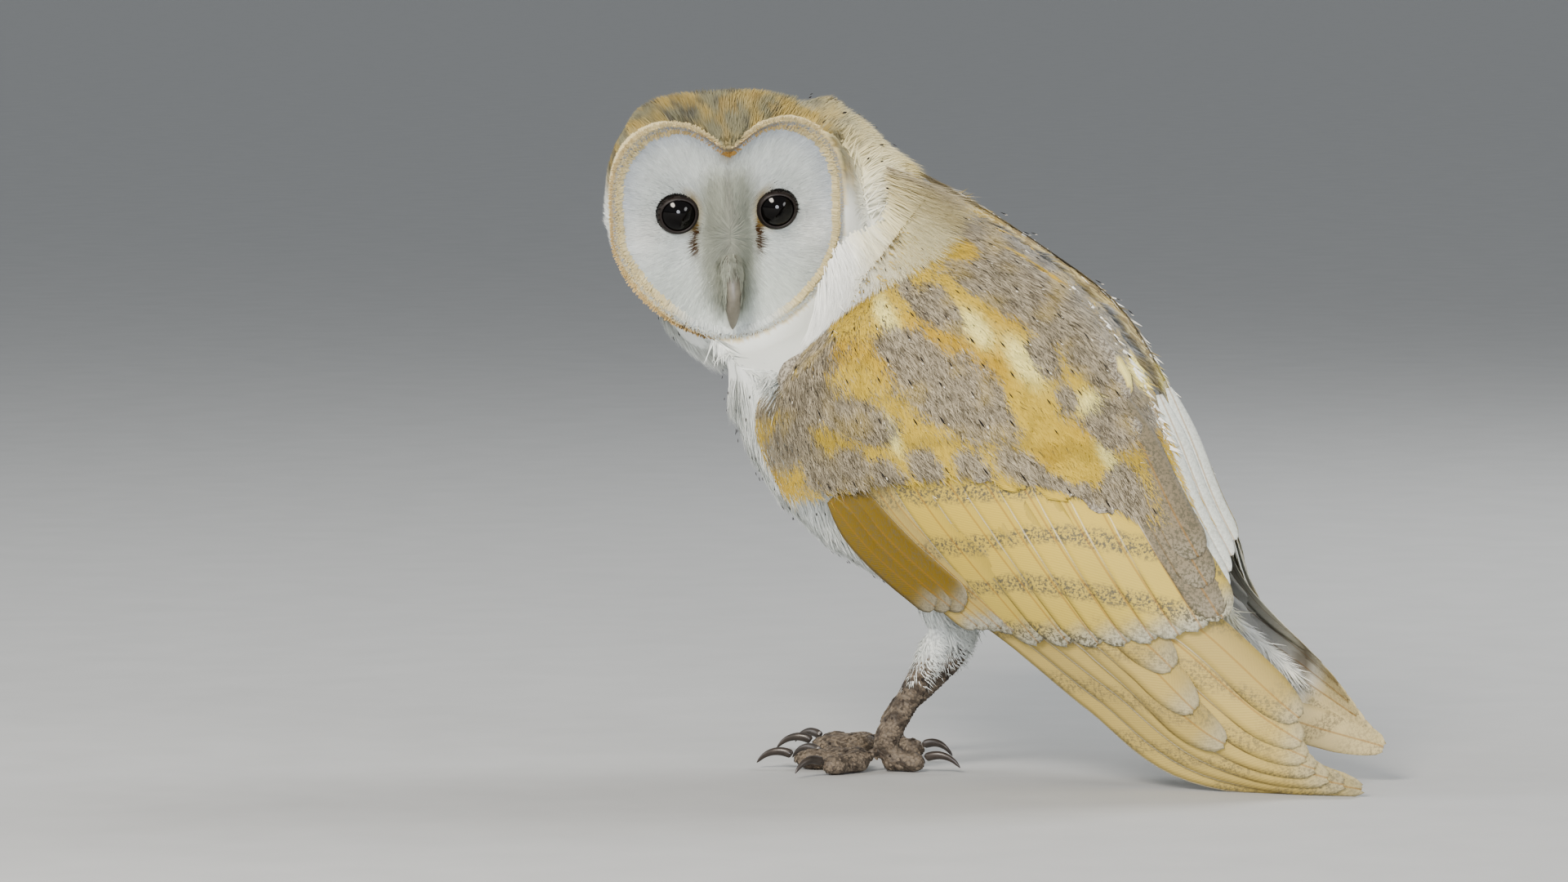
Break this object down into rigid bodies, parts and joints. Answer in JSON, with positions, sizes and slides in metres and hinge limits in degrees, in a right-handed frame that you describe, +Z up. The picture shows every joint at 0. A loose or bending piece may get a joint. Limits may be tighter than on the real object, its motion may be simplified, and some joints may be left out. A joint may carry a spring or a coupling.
{
  "type": "barn owl model",
  "caption": "Life-size standing barn owl with its head turned over the left shoulder, folded wings and a sloping body.",
  "frame": {"origin": "on the floor, below the middle of the owl's bounding box", "axes": "+Z up, +Y from the breast towards the tail, so the owl's body faces -Y, and +X towards its left wing, the side its face is turned to"},
  "size_m": [0.1304, 0.2992, 0.2466],
  "materials": {
    "face_feathers": "matte short feather, pale grey-white",
    "nape_feathers": "matte short feather, buff with fine grey",
    "breast_feathers": "matte soft feather, white",
    "covert_feathers": "matte feather, golden buff with grey stipple",
    "flight_feathers": "smooth vane, golden buff with grey bars",
    "leg_skin": "scaly skin, brown pink",
    "claw_horn": "dark polished horn",
    "bill_horn": "pale satin horn",
    "eye": "wet, near black"
  },
  "bodies": {
    "root": {"head": "face_feathers", "eye_left": "eye", "eye_right": "eye", "bill_upper": "bill_horn", "bill_lower": "bill_horn", "neck": "nape_feathers", "trunk": "breast_feathers", "mantle": "covert_feathers", "tail": "flight_feathers", "coverts_left": "covert_feathers", "secondaries_left": "flight_feathers", "primaries_left": "flight_feathers", "thigh_left": "breast_feathers", "tarsus_left": "leg_skin", "toe_inner_left": "leg_skin", "claw_inner_left": "claw_horn", "toe_middle_left": "leg_skin", "claw_middle_left": "claw_horn", "toe_outer_left": "leg_skin", "claw_outer_left": "claw_horn", "toe_hind_left": "leg_skin", "claw_hind_left": "claw_horn", "coverts_right": "covert_feathers", "secondaries_right": "flight_feathers", "primaries_right": "flight_feathers", "thigh_right": "breast_feathers", "tarsus_right": "leg_skin", "toe_inner_right": "leg_skin", "claw_inner_right": "claw_horn", "toe_middle_right": "leg_skin", "claw_middle_right": "claw_horn", "toe_outer_right": "leg_skin", "claw_outer_right": "claw_horn", "toe_hind_right": "leg_skin", "claw_hind_right": "claw_horn"}
  },
  "joints": []
}
